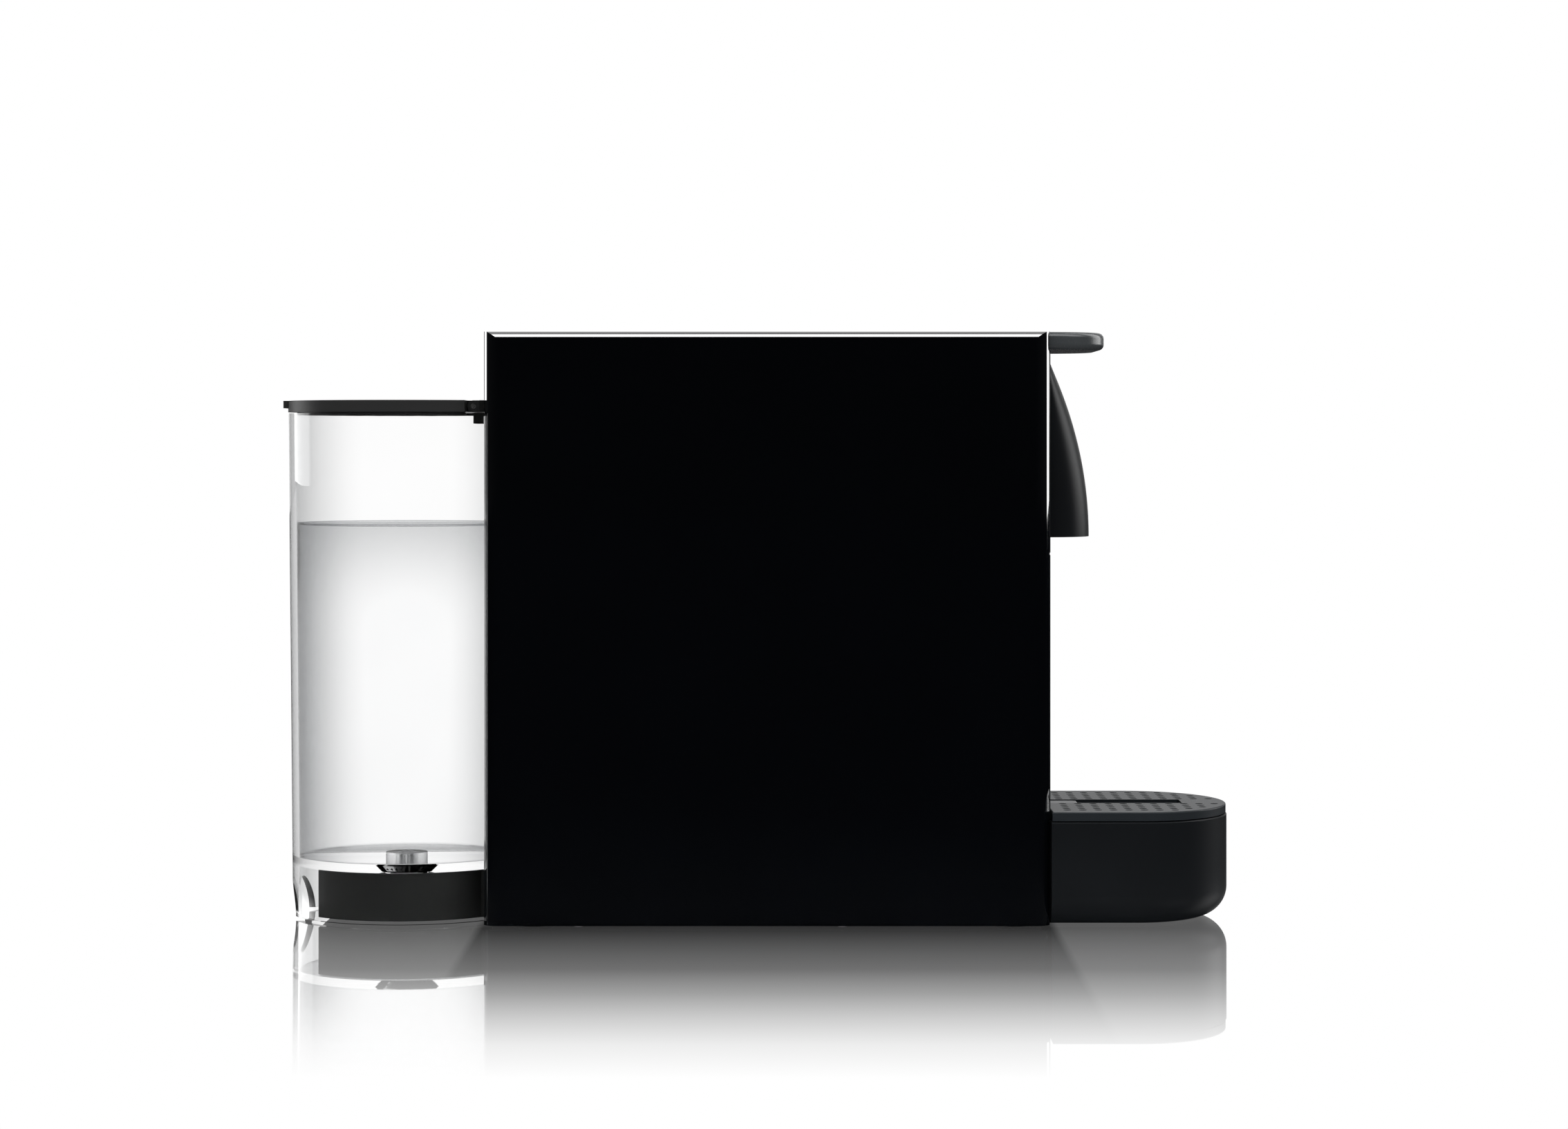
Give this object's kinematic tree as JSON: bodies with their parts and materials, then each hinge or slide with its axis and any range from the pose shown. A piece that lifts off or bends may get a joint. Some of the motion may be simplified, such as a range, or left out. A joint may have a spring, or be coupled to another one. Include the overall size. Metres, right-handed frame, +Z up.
{
  "type": "pod coffee machine",
  "caption": "Compact pod coffee machine: glossy slab body, opening lever, clear rear water tank with hinged lid, round-nosed drip tray, two top buttons.",
  "frame": {"origin": "middle of the whole machine's footprint, on the table", "axes": "+X towards the cup side, +Y to the machine's left, +Z up"},
  "size_m": [0.331, 0.084, 0.204],
  "materials": {
    "brass": "turned",
    "button_grey": "satin",
    "cast_aluminium": "cast",
    "circuit_green": "solder mask",
    "clear_plastic": "clear moulded plastic",
    "coil_resin": "moulded resin",
    "component_dark": "moulded",
    "cowl_black": "soft matte",
    "dock_black": "matte",
    "gloss_black": "high gloss",
    "grid_black": "satin",
    "inner_grey": "moulded",
    "lever_grey": "satin",
    "lid_grey": "satin",
    "matte_black": "fine matte",
    "rubber": "matte",
    "satin_black": "satin",
    "silicone": "translucent matte",
    "steel": "turned",
    "tongue_grey": "satin",
    "tray_black": "soft matte",
    "valve_grey": "satin",
    "zinc": "zinc plated"
  },
  "bodies": {
    "housing": {"side_cover_right": "gloss_black", "side_cover_left": "gloss_black", "top_deck": "satin_black", "rear_panel": "matte_black", "front_panel": "matte_black", "outlet_cowl": "cowl_black", "cord_gland": "rubber", "base_plate": "matte_black", "rubber_feet": "rubber", "base_screws": "steel", "main_frame": "inner_grey", "brew_frame": "inner_grey", "frame_screws": "steel", "lever_pivot_pins": "steel", "extraction_plate": "steel", "coffee_duct": "inner_grey", "coffee_spout": "cowl_black", "capsule_chute": "matte_black", "tank_dock": "dock_black", "tank_connector": "inner_grey", "dock_seal": "rubber", "suction_hose": "silicone", "flow_meter": "inner_grey", "pump_feed_hose": "silicone", "pump_inlet": "inner_grey", "pump_tube": "steel", "pump_coil": "coil_resin", "pump_yoke": "zinc", "pump_outlet": "brass", "pump_mounts": "rubber", "thermoblock": "cast_aluminium", "heater_terminals": "steel", "thermostat": "zinc", "heater_brackets": "zinc", "pressure_tube": "silicone", "injector_tube": "silicone", "control_board": "circuit_green", "board_components": "component_dark", "tact_switches": "component_dark"},
    "lever": {"lever": "lever_grey", "lever_drive_pin": "steel"},
    "capsule_carriage": {"capsule_cage": "inner_grey", "piercing_needles": "steel"},
    "drip_drawer": {"drip_tray": "tray_black", "capsule_bin": "tray_black", "bin_tongue": "tongue_grey"},
    "grid": {"drip_grid": "grid_black"},
    "tank": {"water_tank": "clear_plastic", "lid_hinge_cap": "lid_grey", "lid_hinge_pin": "steel", "valve_seat": "valve_grey", "valve_seal": "rubber", "valve_filter": "valve_grey"},
    "lid": {"tank_lid": "lid_grey"},
    "valve": {"valve_poppet": "rubber"},
    "espresso_key": {"button_espresso": "button_grey", "spring_espresso": "steel"},
    "lungo_key": {"button_lungo": "button_grey", "spring_lungo": "steel"}
  },
  "joints": [
    {"name": "lever_hinge", "type": "hinge", "parent": "housing", "child": "lever", "pos_m": [0.022, 0, 0.16], "axis": [0, -1, 0], "range_deg": [0, 70]},
    {"name": "cage_slide", "type": "slide", "parent": "housing", "child": "capsule_carriage", "axis": [-1, 0, 0], "range_m": [0, 0.03127]},
    {"name": "drawer_slide", "type": "slide", "parent": "housing", "child": "drip_drawer", "axis": [1, 0, 0], "range_m": [0, 0.12]},
    {"name": "grid_lift", "type": "slide", "parent": "drip_drawer", "child": "grid", "axis": [0, 0, 1], "range_m": [0, 0.06]},
    {"name": "tank_lift", "type": "slide", "parent": "housing", "child": "tank", "axis": [0, 0, 1], "range_m": [0, 0.21]},
    {"name": "lid_hinge", "type": "hinge", "parent": "tank", "child": "lid", "pos_m": [-0.0975, 0, 0.1786], "axis": [0, 1, 0], "range_deg": [0, 90]},
    {"name": "valve_slide", "type": "slide", "parent": "tank", "child": "valve", "axis": [0, 0, -1], "range_m": [0, 0.003]},
    {"name": "button_espresso_press", "type": "slide", "parent": "housing", "child": "espresso_key", "axis": [0, 0, -1], "range_m": [0, 0.0015], "stiffness_N_per_m": 600, "springref_m": -0.002, "deforming": ["spring_espresso"]},
    {"name": "button_lungo_press", "type": "slide", "parent": "housing", "child": "lungo_key", "axis": [0, 0, -1], "range_m": [0, 0.0015], "stiffness_N_per_m": 600, "springref_m": -0.002, "deforming": ["spring_lungo"]}
  ],
  "couplings": [
    {"joint": "cage_slide", "follows": "lever_hinge", "m_per_rad": 0.025352},
    {"joint": "valve_slide", "follows": "tank_lift", "ratio": 0.0125}
  ]
}
